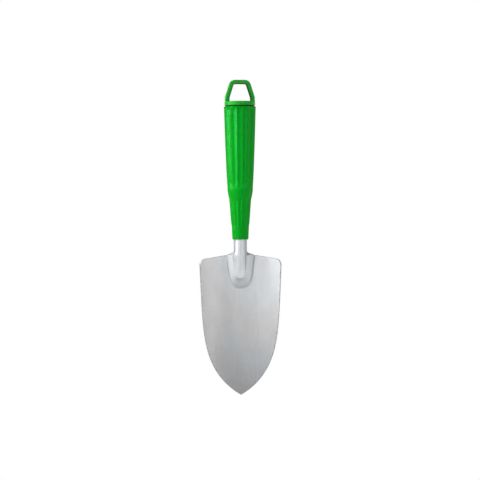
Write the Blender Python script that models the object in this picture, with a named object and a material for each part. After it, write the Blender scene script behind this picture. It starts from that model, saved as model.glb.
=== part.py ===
"""Garden trowel: a pressed steel blade with a rolled neck, a fluted handle and a hang loop that turns.

Metres, +Z up. The trowel hangs by its loop, tip down, with the hollow side of the blade towards -Y.
The origin is the middle of the flat underside of the loop's top bar, where a hook bears.
The handle, the neck and the cap of the loop share the Z axis.
"""

import math

import bmesh
import bpy
from mathutils import Vector

# Hang loop and its cap
LOOP_BAR = 0.0043
LOOP_DEPTH = 0.0055
LOOP_EDGE_RADIUS = 0.0011
LOOP_TOP_WIDTH = 0.0158
LOOP_TOP_RADIUS = 0.0042
LOOP_KNEE_RISE = 0.0039
LOOP_KNEE_RADIUS = 0.0060
WINDOW_HEIGHT = 0.0173
LOOP_TURN = math.radians(12.0)
CAP_THICKNESS = 0.0048
CAP_STEP = 0.0008
CAP_TOP_EDGE = 0.0008
CAP_BOTTOM_EDGE = 0.0015
CROWN_THICKNESS = 0.0028
PLUG_LENGTH = 0.0125
PLUG_WALL = 0.0020
PLUG_LEAD = 0.0010
BEAD_DROP = 0.0075
BEAD_WIDTH = 0.0018
BEAD_HEIGHT = 0.0006
PLUG_SLOT = 0.0020

# Handle
HANDLE_LENGTH = 0.1328
GRIP_TOP_RADIUS = 0.0162
GRIP_MIDDLE_DROP = 0.0433
GRIP_MIDDLE_RADIUS = 0.0148
KNEE_RISE = 0.0503
KNEE_RADIUS = 0.0128
TAPER_RISE = 0.0393
TAPER_RADIUS = 0.0111
WAIST_RISE = 0.0178
WAIST_RADIUS = 0.0094
COLLAR_HEIGHT = 0.0115
COLLAR_WALL = 0.0011
COLLAR_DRAFT = 0.0005
FLUTES = 16
UPPER_FLUTE_DEPTH = 0.0008
LOWER_FLUTE_DEPTH = 0.0006
FLUTE_LEAD = 0.0010
FLUTE_RISE = 0.0050
FLUTE_FADE = 0.0095
KNEE_LENGTH = 0.0070
RIM_EDGE = 0.0006
END_EDGE = 0.0012
END_SHARE = 0.7
RIM_WALL = 0.0040
GRIP_WALL = 0.0026
MOUTH_DEPTH = 0.0150

# Neck and blade, one pressing
SHEET = 0.0015
NECK_RADIUS = 0.00665
NECK_SHOWN = 0.0156
NECK_INSERT = 0.0470
SEAM_GAP = 0.0020
NECK_FLARE = 0.0075
FLARE_BEND = 0.65
BLADE_WIDTH = 0.0824
BLADE_LENGTH = 0.1395
SIDE_LENGTH = 0.0100
SIDE_TAPER = math.radians(2.55)
OUTLINE_POWER = 5.28
OUTLINE_POINT = 0.90
TIP_FLAT = 0.0012
SHOULDER_SLOPE = 0.165
CORNER_RADIUS = 0.0058
DISH_RADIUS = 0.0800
TIP_LIFT = 0.0030
PLATE_BACK = 0.0030
BOSS_WIDTH = 0.0292
BOSS_LENGTH = 0.0342
BOSS_STRAIGHT = 0.0165
BOSS_TAPER = 0.110
BOSS_POWER = 2.5
BOSS_EASE = 0.60
BOSS_HEIGHT = 0.0051
BOSS_FOOT_SLOPE = 1.6
BOSS_FLANK_SLOPE = 0.70
BOSS_STEP = 0.0010
CREASE_BLEND = 0.0004
FOOT_BLEND = 0.0008
TOP_BLEND = 0.0006
RIDGE_REACH = 0.0063
RIDGE_POWER = 4.0
RIDGE_LENGTH = 0.0210
RIDGE_NARROWING = 0.20
RIDGE_FADE = 1.2
RIDGE_END = 0.25
RIDGE_BLEND = 0.0008

# Pin through the back of the collar
PIN_RADIUS = 0.0015
PIN_HEAD_RADIUS = 0.0026
PIN_HEAD_HEIGHT = 0.0010
PIN_RISE = 0.0065
PIN_REACH = 0.0010

# Clearances
FIT_GAP = 0.0003
SWIVEL_GAP = 0.0003
RIM_GAP = 0.0004
SOCKET_SPARE = 0.0010

# Places that follow from the sizes above
CAP_TOP = -WINDOW_HEIGHT
CAP_BOTTOM = CAP_TOP - CAP_THICKNESS
HANDLE_TOP = CAP_BOTTOM - RIM_GAP
HANDLE_END = HANDLE_TOP - HANDLE_LENGTH
SHOULDER = HANDLE_END - NECK_SHOWN
CAP_RADIUS = GRIP_TOP_RADIUS - CAP_STEP
MOUTH_RADIUS = GRIP_TOP_RADIUS - RIM_WALL
PLUG_RADIUS = MOUTH_RADIUS - SWIVEL_GAP
SOCKET_RADIUS = NECK_RADIUS + FIT_GAP
END_RADIUS = SOCKET_RADIUS + COLLAR_WALL
COLLAR_RADIUS = END_RADIUS + COLLAR_DRAFT
KNEE_DROP = HANDLE_LENGTH - KNEE_RISE
COLLAR_DROP = HANDLE_LENGTH - COLLAR_HEIGHT
SOCKET_DROP = HANDLE_LENGTH - NECK_INSERT - SOCKET_SPARE
FACE_RADIUS = DISH_RADIUS - SHEET / 2
FACE_WIDTH = BLADE_WIDTH * FACE_RADIUS / DISH_RADIUS
RIDGE_HEIGHT = NECK_RADIUS + PLATE_BACK - SHEET / 2 - BOSS_HEIGHT
WRAP = math.pi - SEAM_GAP / 2 / NECK_RADIUS
PIN_HEIGHT = HANDLE_END + PIN_RISE

# Mesh steps
FLUTE_STEPS = 4
CAP_STEPS = 48
EDGE_STEPS = 3
STRIP_STEPS = 24
STRIP_MERGE = 4
FLANGE_STEPS = 7
BOSS_ROWS = 14
DISH_ROWS = 10
FLARE_ROWS = 6
FLARE_CROWDING = 1.5
NECK_ROWS = 4

GREEN = (0.010, 0.330, 0.022, 1)
CAP_GREEN = (0.020, 0.240, 0.030, 1)
SILVER = (0.60, 0.60, 0.61, 1)
STEEL = (0.45, 0.45, 0.46, 1)


def clear_scene():
    for old in list(bpy.data.objects):
        bpy.data.objects.remove(old)


def finish(name, colour, roughness, metallic):
    material = bpy.data.materials.new(name)
    material.use_nodes = True
    shader = material.node_tree.nodes["Principled BSDF"]
    shader.inputs["Base Color"].default_value = colour
    shader.inputs["Roughness"].default_value = roughness
    shader.inputs["Metallic"].default_value = metallic
    return material


def smoothstep(value):
    t = min(max(value, 0.0), 1.0)
    return t * t * (3 - 2 * t)


def spaced(start, end, steps):
    return [start + (end - start) * i / steps for i in range(steps + 1)]


def arc(centre_a, centre_b, radius, start, end, steps=EDGE_STEPS):
    """Points on a circle arc in any plane, by its angles in degrees."""
    angles = [math.radians(a) for a in spaced(start, end, steps)]
    return [(centre_a + radius * math.cos(a), centre_b + radius * math.sin(a)) for a in angles]


def object_from(name, bm, material=None, closed=True):
    if closed:
        bmesh.ops.recalc_face_normals(bm, faces=bm.faces)
    mesh = bpy.data.meshes.new(name)
    bm.to_mesh(mesh)
    bm.free()
    mesh.shade_smooth()
    mesh.set_sharp_from_angle(angle=math.radians(35))
    made = bpy.data.objects.new(name, mesh)
    bpy.context.collection.objects.link(made)
    if material:
        made.data.materials.append(material)
    return made


def place_under(child, parent):
    """Hangs a part on its carrier and keeps it where it was modelled."""
    child.parent = parent
    child.location = Vector(child.location) - Vector(parent.location)


def cutter(shape):
    shape.hide_render = True
    shape.display_type = "WIRE"
    return shape


def combine(target, other, operation):
    boolean = target.modifiers.new(operation.title(), "BOOLEAN")
    boolean.operation = operation
    boolean.solver = "EXACT"
    boolean.object = cutter(other)
    other.parent = target


def stack_of_rings(rings, closed):
    """A skin over rings of equal point count, joined last to first or capped by end faces."""
    bm = bmesh.new()
    loops = [[bm.verts.new(point) for point in ring] for ring in rings]
    pairs = list(zip(loops, loops[1:]))
    if closed:
        pairs.append((loops[-1], loops[0]))
    else:
        bm.faces.new(loops[0])
        bm.faces.new(loops[-1])
    for low, high in pairs:
        for i in range(len(low)):
            j = (i + 1) % len(low)
            bm.faces.new((low[i], low[j], high[j], high[i]))
    return bm


def turned(name, profile, steps, material=None):
    """A solid of revolution about Z from (radius, height) points that start and end on the axis."""
    bm = bmesh.new()
    verts = [bm.verts.new((radius, 0, height)) for radius, height in profile]
    edges = [bm.edges.new(pair) for pair in zip(verts, verts[1:])]
    bmesh.ops.spin(
        bm, geom=verts + edges, cent=(0, 0, 0), axis=(0, 0, 1),
        angle=2 * math.pi, steps=steps, use_merge=True,
    )
    bmesh.ops.remove_doubles(bm, verts=bm.verts, dist=1e-6)
    return object_from(name, bm, material)


def along_y(made, height):
    """Lays a solid turned about Z on its side, so that its own +Z points to +Y."""
    made.rotation_euler = (-math.pi / 2, 0, 0)
    made.location = (0, 0, height)
    return made


def loop_path():
    """The centre line of the loop's bars in the XZ plane, from one leg up and over to the other."""
    foot = CAP_TOP - (CROWN_THICKNESS - FIT_GAP) * 0.75
    base = CAP_RADIUS - FIT_GAP - LOOP_BAR / 2
    knee = Vector((base, CAP_TOP + LOOP_KNEE_RISE))
    top = Vector((LOOP_TOP_WIDTH / 2, LOOP_BAR / 2))
    corners = [Vector((base, foot)), knee, top]
    corners += [Vector((-c.x, c.y)) for c in reversed(corners)]
    radii = [0, LOOP_KNEE_RADIUS, LOOP_TOP_RADIUS, LOOP_TOP_RADIUS, LOOP_KNEE_RADIUS, 0]
    path = []
    for i, (corner, radius) in enumerate(zip(corners, radii)):
        if radius == 0:
            path.append(corner)
            continue
        before = (corners[i - 1] - corner).normalized()
        after = (corners[i + 1] - corner).normalized()
        half = before.angle(after) / 2
        centre = corner + (before + after).normalized() * radius / math.sin(half)
        first = corner + before * radius / math.tan(half) - centre
        last = corner + after * radius / math.tan(half) - centre
        for share in spaced(0, 1, EDGE_STEPS):
            spoke = first.slerp(last, share)
            path.append(centre + spoke.normalized() * radius)
    return path


def bar_section():
    """The rounded section of a bar as (in-plane, depth) points, with flat sides between its corners."""
    a = LOOP_BAR / 2 - LOOP_EDGE_RADIUS
    b = LOOP_DEPTH / 2 - LOOP_EDGE_RADIUS
    corners = [(a, b, 0), (-a, b, 90), (-a, -b, 180), (a, -b, 270)]
    section = []
    for u, v, start in corners:
        section += arc(u, v, LOOP_EDGE_RADIUS, start, start + 90)
    return section


def loop_bars():
    path = loop_path()
    rings = []
    for i, point in enumerate(path):
        ahead = path[min(i + 1, len(path) - 1)] - point
        behind = point - path[max(i - 1, 0)]
        run = (ahead.normalized() + behind.normalized()).normalized()
        side = Vector((-run.y, run.x))
        stretch = 1.0
        if ahead.length and behind.length:
            stretch = 1 / math.cos(ahead.angle(behind) / 2)
        ring = []
        for across, depth in bar_section():
            spot = point + side * across * stretch
            ring.append((spot.x, depth, spot.y))
        rings.append(ring)
    return object_from("loop_bars", stack_of_rings(rings, closed=False))


def plug_profile():
    """The cap with its hollow plug and snap bead, from the middle of its top to the roof of the plug."""
    plug_end = CAP_BOTTOM - PLUG_LENGTH
    bead = CAP_BOTTOM - BEAD_DROP
    inner = PLUG_RADIUS - PLUG_WALL
    profile = [(0, CAP_TOP)]
    profile += arc(CAP_RADIUS - CAP_TOP_EDGE, CAP_TOP - CAP_TOP_EDGE, CAP_TOP_EDGE, 90, 0)
    profile += arc(CAP_RADIUS - CAP_BOTTOM_EDGE, CAP_BOTTOM + CAP_BOTTOM_EDGE, CAP_BOTTOM_EDGE, 0, -90)
    profile += [
        (PLUG_RADIUS, CAP_BOTTOM),
        (PLUG_RADIUS, bead),
        (PLUG_RADIUS + BEAD_HEIGHT, bead - BEAD_WIDTH / 3),
        (PLUG_RADIUS + BEAD_HEIGHT, bead - BEAD_WIDTH * 2 / 3),
        (PLUG_RADIUS, bead - BEAD_WIDTH),
        (PLUG_RADIUS, plug_end + PLUG_LEAD),
        (PLUG_RADIUS - PLUG_LEAD, plug_end),
        (inner, plug_end),
        (inner, CAP_TOP - CROWN_THICKNESS),
        (0, CAP_TOP - CROWN_THICKNESS),
    ]
    return profile


def slot_cutter(along_x):
    """A bar across the plug that leaves two slots in its skirt, so that it can spring into the handle."""
    reach = 2 * CAP_RADIUS
    size = (reach, PLUG_SLOT) if along_x else (PLUG_SLOT, reach)
    top = CAP_BOTTOM - PLUG_LEAD
    bottom = CAP_BOTTOM - PLUG_LENGTH - PLUG_LEAD
    bm = bmesh.new()
    bmesh.ops.create_cube(bm, size=1)
    bmesh.ops.scale(bm, verts=bm.verts, vec=(size[0], size[1], top - bottom))
    bmesh.ops.translate(bm, verts=bm.verts, vec=(0, 0, (top + bottom) / 2))
    return object_from("slot_cutter", bm)


def make_hang_loop(material):
    loop = turned("hang_loop", plug_profile(), CAP_STEPS, material)
    combine(loop, loop_bars(), "UNION")
    for along_x in (True, False):
        combine(loop, slot_cutter(along_x), "DIFFERENCE")
    return loop


def outer_radius(drop):
    """The handle's radius over its flute crests, a smooth curve through its seven main places."""
    places = [
        (0, GRIP_TOP_RADIUS),
        (GRIP_MIDDLE_DROP, GRIP_MIDDLE_RADIUS),
        (KNEE_DROP, KNEE_RADIUS),
        (HANDLE_LENGTH - TAPER_RISE, TAPER_RADIUS),
        (HANDLE_LENGTH - WAIST_RISE, WAIST_RADIUS),
        (COLLAR_DROP, COLLAR_RADIUS),
        (HANDLE_LENGTH, END_RADIUS),
    ]
    slopes = [(b[1] - a[1]) / (b[0] - a[0]) for a, b in zip(places, places[1:])]
    tangents = [slopes[0]]
    for before, after in zip(slopes, slopes[1:]):
        same_way = before * after > 0
        tangents.append(2 * before * after / (before + after) if same_way else 0.0)
    tangents.append(slopes[-1])
    drop = min(max(drop, 0.0), HANDLE_LENGTH)
    i = 0
    while i < len(slopes) - 1 and drop > places[i + 1][0]:
        i += 1
    run = places[i + 1][0] - places[i][0]
    t = (drop - places[i][0]) / run
    return (
        (2 * t**3 - 3 * t**2 + 1) * places[i][1]
        + (t**3 - 2 * t**2 + t) * run * tangents[i]
        + (3 * t**2 - 2 * t**3) * places[i + 1][1]
        + (t**3 - t**2) * run * tangents[i + 1]
    )


def flute_depth(drop):
    """How deep the flutes are cut: one set above the knee, one between knee and collar."""
    upper_end = KNEE_DROP + KNEE_LENGTH / 4
    lower_start = KNEE_DROP + KNEE_LENGTH
    rise = smoothstep((drop + FLUTE_LEAD) / FLUTE_RISE)
    fall = smoothstep((upper_end - drop) / FLUTE_FADE)
    upper = UPPER_FLUTE_DEPTH * min(rise, fall)
    rise = smoothstep((drop - lower_start) / (FLUTE_FADE / 2))
    fall = smoothstep((COLLAR_DROP - drop) / (FLUTE_FADE / 2))
    lower = LOWER_FLUTE_DEPTH * min(rise, fall)
    return max(upper, lower)


def fluted_ring(radius, drop):
    """One ring of the handle: shallow round-bottomed flutes that meet in sharp crests."""
    count = FLUTES * FLUTE_STEPS
    depth = flute_depth(drop)
    ring = []
    for i in range(count):
        across = 2 * (i % FLUTE_STEPS) / FLUTE_STEPS - 1
        r = radius - depth * (1 - across * across)
        turn = 2 * math.pi * (i / FLUTE_STEPS - 0.5) / FLUTES - math.pi / 2
        ring.append((r * math.cos(turn), r * math.sin(turn), HANDLE_TOP - drop))
    return ring


def plain_ring(radius, drop):
    count = FLUTES * FLUTE_STEPS
    turns = [2 * math.pi * i / count - math.pi / FLUTES - math.pi / 2 for i in range(count)]
    return [(radius * math.cos(t), radius * math.sin(t), HANDLE_TOP - drop) for t in turns]


def outside_drops():
    """Where the handle's outer rings lie: closer together where the flutes fade."""
    upper_end = KNEE_DROP + KNEE_LENGTH / 4
    lower_start = KNEE_DROP + KNEE_LENGTH
    drops = spaced(RIM_EDGE, FLUTE_RISE, 3)
    drops += spaced(FLUTE_RISE, upper_end - FLUTE_FADE, 5)[1:]
    drops += spaced(upper_end - FLUTE_FADE, upper_end, 3)[1:]
    drops += spaced(upper_end, lower_start, 2)[1:]
    drops += spaced(lower_start, lower_start + FLUTE_FADE / 2, 2)[1:]
    drops += spaced(lower_start + FLUTE_FADE / 2, COLLAR_DROP - FLUTE_FADE / 2, 3)[1:]
    drops += spaced(COLLAR_DROP - FLUTE_FADE / 2, COLLAR_DROP, 2)[1:]
    drops.append(HANDLE_LENGTH - END_EDGE)
    return drops


def inside_profile():
    """The bore as (radius, drop) from the handle's lower end up: socket, hollow, snap groove, mouth."""
    cavity_end = MOUTH_RADIUS - BEAD_HEIGHT

    def hollow(drop):
        return min(cavity_end, outer_radius(drop) - UPPER_FLUTE_DEPTH - GRIP_WALL)

    groove = BEAD_DROP + RIM_GAP
    reach = SWIVEL_GAP + BEAD_WIDTH / 3
    profile = [(SOCKET_RADIUS, HANDLE_LENGTH), (SOCKET_RADIUS, SOCKET_DROP)]
    for drop in spaced(SOCKET_DROP, MOUTH_DEPTH, 3):
        profile.append((hollow(drop), drop))
    profile += [
        (MOUTH_RADIUS, MOUTH_DEPTH),
        (MOUTH_RADIUS, groove + BEAD_WIDTH - RIM_GAP + reach),
        (MOUTH_RADIUS + BEAD_HEIGHT, groove + BEAD_WIDTH * 2 / 3 - RIM_GAP + reach),
        (MOUTH_RADIUS + BEAD_HEIGHT, groove + BEAD_WIDTH / 3 - RIM_GAP - reach),
        (MOUTH_RADIUS, groove - RIM_GAP - reach),
    ]
    return profile


def make_handle(material):
    rings = []
    for radius, drop in inside_profile():
        rings.append(plain_ring(radius, drop))
    for radius, drop in arc(MOUTH_RADIUS + RIM_EDGE, RIM_EDGE, RIM_EDGE, 180, 270):
        rings.append(plain_ring(radius, drop))
    for radius, drop in arc(outer_radius(0) - RIM_EDGE, RIM_EDGE, RIM_EDGE, 270, 360)[:-1]:
        rings.append(plain_ring(radius, drop))
    for drop in outside_drops():
        rings.append(fluted_ring(outer_radius(drop), drop))
    low = HANDLE_LENGTH - END_EDGE
    round_off = min(END_EDGE, END_SHARE * (outer_radius(low) - SOCKET_RADIUS))
    for across, down in arc(0, 0, 1, 0, 90)[1:]:
        rings.append(plain_ring(outer_radius(low) - round_off * (1 - across), low + END_EDGE * down))
    handle = object_from("handle", stack_of_rings(rings, closed=True), material)
    combine(handle, pin_hole("handle_hole"), "DIFFERENCE")
    return handle


def pin_hole(name):
    """A cutter for the hole that the pin passes through, at the back only."""
    radius = PIN_RADIUS + FIT_GAP
    start = NECK_RADIUS / 2
    end = 2 * COLLAR_RADIUS
    profile = [(0, start), (radius, start), (radius, end), (0, end)]
    return along_y(turned(name, profile, 16), PIN_HEIGHT)


def make_pin(material):
    """A short drive pin with a low domed head, seated on the back of the collar."""
    seat = outer_radius(HANDLE_LENGTH - PIN_RISE - PIN_HEAD_RADIUS) + FIT_GAP
    tail = NECK_RADIUS - SHEET - PIN_REACH
    crown = [
        (PIN_HEAD_RADIUS * math.cos(a), seat + PIN_HEAD_HEIGHT * math.sin(a))
        for a in spaced(0, math.pi / 2, 4)
    ]
    crown[-1] = (0, seat + PIN_HEAD_HEIGHT)
    point = PIN_RADIUS / 2
    profile = [(0, tail), (PIN_RADIUS - point, tail), (PIN_RADIUS, tail + point), (PIN_RADIUS, seat)]
    return along_y(turned("collar_pin", profile + crown, 24, material), PIN_HEIGHT)


def half_width(drop):
    """Half the blade's width below the shoulder line: tapering sides that draw in to the point."""
    sides = FACE_WIDTH / 2 - drop * math.tan(SIDE_TAPER)
    share = min(max((drop - SIDE_LENGTH) / (BLADE_LENGTH - SIDE_LENGTH), 0.0), 1.0)
    return max(sides * (1 - share**OUTLINE_POWER) ** OUTLINE_POINT, TIP_FLAT / 2)


def shoulder_drop(x):
    """How far the blade's top edge lies below the shoulder line, with its rounded corners."""
    out = abs(x)
    slope = SHOULDER_SLOPE * max(out - BOSS_WIDTH / 2, 0.0)
    past = out - (FACE_WIDTH / 2 - CORNER_RADIUS)
    if past <= 0:
        return slope
    return slope + CORNER_RADIUS - math.sqrt(max(CORNER_RADIUS**2 - past * past, 0.0))


def smooth_min(a, b, blend):
    mix = max(blend - abs(a - b), 0.0) / blend
    return min(a, b) - mix * mix * blend / 4


def smooth_max(a, b, blend):
    return -smooth_min(-a, -b, blend)


def boss_inside(x, drop):
    """How far inside the foot of the U-shaped boss a point is: tapering sides, closed by a full round end."""
    half = BOSS_WIDTH / 2 - BOSS_TAPER * min(drop, BOSS_LENGTH)
    past = max(drop - BOSS_STRAIGHT, 0.0) / (BOSS_LENGTH - BOSS_STRAIGHT)
    return (1 - (abs(x / half) ** BOSS_POWER + past**BOSS_POWER) ** (1 / BOSS_POWER)) * half


def boss_rise(x, drop):
    """Height of the boss over the plate: a step at its foot, a gentler flank, a flat top, easier at its end."""
    inside = boss_inside(x, drop) * (1 - BOSS_EASE * min(drop / BOSS_LENGTH, 1.0) ** 2)
    flank = smooth_min(BOSS_STEP + BOSS_FLANK_SLOPE * inside, BOSS_HEIGHT, TOP_BLEND)
    return smooth_max(smooth_min(BOSS_FOOT_SLOPE * inside, flank, FOOT_BLEND), 0.0, CREASE_BLEND)


def ridge_rise(x, drop):
    """Height of the ridge that carries the neck's round front on over the boss and fades into it."""
    share = drop / RIDGE_LENGTH
    reach = RIDGE_REACH * (1 - RIDGE_NARROWING * min(share, 1.0))
    crown = RIDGE_HEIGHT * (1 - abs(x / reach) ** RIDGE_POWER)
    return smooth_max(crown, 0.0, RIDGE_BLEND) * smooth_max(1 - share**RIDGE_FADE, 0.0, RIDGE_END)


def face_depth(x, drop):
    """Depth of the sheet's hollow side: dished plate, the boss on it, and the ridge on the boss."""
    dish = FACE_RADIUS - math.sqrt(FACE_RADIUS**2 - x * x)
    lift = TIP_LIFT * (drop / BLADE_LENGTH) ** 2
    return PLATE_BACK - SHEET / 2 - dish - lift - boss_rise(x, drop) - ridge_rise(x, drop)


def strip_x(turn):
    """Where a line of the neck, at an angle round it, lies across the top of the boss."""
    if abs(turn) <= math.pi / 2:
        return RIDGE_REACH * math.sin(turn)
    share = (abs(turn) - math.pi / 2) / (WRAP - math.pi / 2)
    return math.copysign(RIDGE_REACH + (BOSS_WIDTH / 2 - RIDGE_REACH) * share, turn)


def flange_columns():
    """Places across one side of the top edge, from just past the boss to the corner."""
    corner = FACE_WIDTH / 2 - CORNER_RADIUS
    straight = spaced(BOSS_WIDTH / 2, corner, FLANGE_STEPS - EDGE_STEPS)[1:]
    angles = spaced(0, math.pi / 2, EDGE_STEPS)[1:]
    return straight + [corner + CORNER_RADIUS * math.sin(a) for a in angles]


def sheet_rows():
    """Shares of the blade's length from the shoulder to the tip: close over the boss and near the tip."""
    boss = BOSS_LENGTH * 1.1 / BLADE_LENGTH
    rows = spaced(0, boss, BOSS_ROWS)
    for share in spaced(0, 1, DISH_ROWS)[1:]:
        rows.append(boss + (1 - boss) * math.sin(share * math.pi / 2))
    return rows


def make_blade(material):
    """The whole pressing as one sheet, its front face first and its thickness behind that at the end."""
    turns = spaced(-WRAP, WRAP, STRIP_STEPS)
    side = flange_columns()
    columns = [-x for x in reversed(side)] + [strip_x(t) for t in turns] + side
    first = len(side)
    keep = set(range(first)) | set(range(first + STRIP_STEPS + 1, len(columns)))
    keep |= set(range(first, first + STRIP_STEPS + 1, STRIP_MERGE))
    bm = bmesh.new()

    def blade_vert(x, share):
        top = shoulder_drop(x)
        drop = top + (BLADE_LENGTH - top) * share
        across = x / (FACE_WIDTH / 2) * half_width(drop)
        return bm.verts.new((across, face_depth(across, drop), SHOULDER - drop))

    rows = []
    for i, share in enumerate(sheet_rows()):
        fine = i <= BOSS_ROWS
        rows.append({j: blade_vert(x, share) for j, x in enumerate(columns) if fine or j in keep})
    for high, low in zip(rows, rows[1:]):
        places = sorted(low)
        for a, b in zip(places, places[1:]):
            upper = [high[j] for j in range(a, b + 1) if j in high]
            bm.faces.new([low[a], low[b]] + list(reversed(upper)))

    below = [rows[0][first + i] for i in range(len(turns))]
    shares = [t**FLARE_CROWDING for t in spaced(0, 1, FLARE_ROWS)[1:]]
    heights = [(NECK_FLARE * t, smoothstep(t**FLARE_BEND)) for t in shares]
    neck_top = NECK_SHOWN + NECK_INSERT
    heights += [(h, 1.0) for h in spaced(NECK_FLARE, neck_top, NECK_ROWS)[1:]]
    for height, wrapped in heights:
        above = []
        for turn in turns:
            x = strip_x(turn)
            flat = Vector((x, face_depth(x, 0), 0))
            tube = Vector((math.sin(turn), -math.cos(turn), 0)) * NECK_RADIUS
            spot = flat.lerp(tube, wrapped)
            above.append(bm.verts.new((spot.x, spot.y, SHOULDER + height)))
        for i in range(len(turns) - 1):
            bm.faces.new((below[i], below[i + 1], above[i + 1], above[i]))
        below = above

    blade = object_from("blade", bm, material, closed=False)
    wall = blade.modifiers.new("Sheet", "SOLIDIFY")
    wall.thickness = SHEET
    wall.offset = -1
    wall.use_even_offset = True
    wall.use_quality_normals = True
    combine(blade, pin_hole("neck_hole"), "DIFFERENCE")
    return blade


def build():
    clear_scene()
    green = finish("handle_green", GREEN, 0.32, 0.0)
    cap_green = finish("cap_green", CAP_GREEN, 0.36, 0.0)
    silver = finish("silver_lacquer", SILVER, 0.38, 0.85)
    steel = finish("pin_steel", STEEL, 0.30, 1.0)

    hang_loop = make_hang_loop(cap_green)
    hang_loop.rotation_euler = (0, 0, LOOP_TURN)

    swivel = bpy.data.objects.new("trowel_swivel", None)
    swivel.location = (0, 0, HANDLE_TOP)
    bpy.context.collection.objects.link(swivel)
    for piece in (make_handle(green), make_blade(silver), make_pin(steel)):
        place_under(piece, swivel)
    bpy.context.view_layer.update()


build()
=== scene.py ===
"""Garden trowel, its looks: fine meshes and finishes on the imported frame, with a pale studio round them."""

import math

import bmesh
import bpy
from mathutils import Matrix, Vector
from mathutils.geometry import intersect_point_line
from mathutils.kdtree import KDTree


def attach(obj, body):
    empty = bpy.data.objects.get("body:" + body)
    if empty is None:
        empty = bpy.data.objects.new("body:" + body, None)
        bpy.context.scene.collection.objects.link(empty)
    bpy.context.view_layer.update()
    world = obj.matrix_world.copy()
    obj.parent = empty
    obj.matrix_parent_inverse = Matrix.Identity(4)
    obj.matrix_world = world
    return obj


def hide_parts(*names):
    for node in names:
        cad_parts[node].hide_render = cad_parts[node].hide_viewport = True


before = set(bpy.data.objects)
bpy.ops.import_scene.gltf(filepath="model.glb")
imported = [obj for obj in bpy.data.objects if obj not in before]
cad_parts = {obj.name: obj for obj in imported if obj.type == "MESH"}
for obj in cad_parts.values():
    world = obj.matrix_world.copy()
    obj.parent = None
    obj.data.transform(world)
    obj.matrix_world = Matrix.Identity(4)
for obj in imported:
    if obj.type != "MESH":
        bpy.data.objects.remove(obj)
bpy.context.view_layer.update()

# Hang loop and its cap. Lengths here and below are in metres
LOOP_BAR = 0.0043
LOOP_DEPTH = 0.0055
LOOP_EDGE_RADIUS = 0.0011
LOOP_TOP_WIDTH = 0.0158
LOOP_TOP_RADIUS = 0.0042
LOOP_KNEE_RISE = 0.0039
LOOP_KNEE_RADIUS = 0.0060
LOOP_FOOT_FLARE = 0.0009
LOOP_ROOT = 0.75
WINDOW_HEIGHT = 0.0173
LOOP_TURN = math.radians(12.0)
CAP_THICKNESS = 0.0048
CAP_STEP = 0.0008
CAP_TOP_EDGE = 0.0008
CAP_BOTTOM_EDGE = 0.0015
CROWN_THICKNESS = 0.0028
PLUG_LENGTH = 0.0125
PLUG_WALL = 0.0020
PLUG_LEAD = 0.0010
BEAD_DROP = 0.0075
BEAD_WIDTH = 0.0018
BEAD_HEIGHT = 0.0006
PLUG_SLOT = 0.0020

# Handle
HANDLE_LENGTH = 0.1328
GRIP_TOP_RADIUS = 0.0162
GRIP_MIDDLE_DROP = 0.0433
GRIP_MIDDLE_RADIUS = 0.0148
KNEE_RISE = 0.0503
KNEE_RADIUS = 0.0128
TAPER_RISE = 0.0393
TAPER_RADIUS = 0.0111
WAIST_RISE = 0.0178
WAIST_RADIUS = 0.0094
COLLAR_HEIGHT = 0.0115
COLLAR_WALL = 0.0011
COLLAR_DRAFT = 0.0005
FLUTES = 16
UPPER_FLUTE_DEPTH = 0.0008
LOWER_FLUTE_DEPTH = 0.0006
CREST_ROUNDING = 0.10
CREST_SHARPNESS = 10.0
FLUTE_LEAD = 0.0010
FLUTE_RISE = 0.0050
FLUTE_FADE = 0.0095
KNEE_LENGTH = 0.0070
RIM_EDGE = 0.0006
END_EDGE = 0.0012
END_SHARE = 0.7
RIM_WALL = 0.0040
GRIP_WALL = 0.0026
MOUTH_DEPTH = 0.0150

# Neck and blade
SHEET = 0.0015
RIM_ROUND = 0.0004
NECK_RADIUS = 0.00665
NECK_SHOWN = 0.0156
NECK_INSERT = 0.0470
SEAM_GAP = 0.0020
NECK_FLARE = 0.0075
FLARE_BEND = 0.65
BLADE_WIDTH = 0.0824
BLADE_LENGTH = 0.1395
SIDE_LENGTH = 0.0100
SIDE_TAPER = math.radians(2.55)
OUTLINE_POWER = 5.28
OUTLINE_POINT = 0.90
TIP_FLAT = 0.0012
SHOULDER_SLOPE = 0.165
CORNER_RADIUS = 0.0058
DISH_RADIUS = 0.0800
TIP_LIFT = 0.0030
PLATE_BACK = 0.0030
BOSS_WIDTH = 0.0292
BOSS_LENGTH = 0.0342
BOSS_STRAIGHT = 0.0165
BOSS_TAPER = 0.110
BOSS_POWER = 2.5
BOSS_EASE = 0.60
BOSS_HEIGHT = 0.0051
BOSS_FOOT_SLOPE = 1.6
BOSS_FLANK_SLOPE = 0.70
BOSS_STEP = 0.0010
CREASE_BLEND = 0.0004
FOOT_BLEND = 0.0008
TOP_BLEND = 0.0006
# Where the painted shade lies in the crease round the boss's foot: how far in, how wide, how much stronger on
# the left, how much weaker towards the U's end
CREASE_SHADE_DEPTH = 0.0007
CREASE_SHADE_REACH = 0.0010
CREASE_SHADE_LEAN = 0.5
CREASE_SHADE_FADE = 0.8
# How far the loop's painted shade reaches up under its cap's rim and across its bars from their inner sides
PAINTED_SHADE_RISE = 0.0012
PAINTED_SHADE_SIDE = 0.0014
WEAR_REACH = 0.0010
RIDGE_REACH = 0.0063
RIDGE_POWER = 4.0
RIDGE_LENGTH = 0.0210
RIDGE_NARROWING = 0.20
RIDGE_END = 0.25
RIDGE_FADE = 1.2
RIDGE_BLEND = 0.0008

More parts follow.
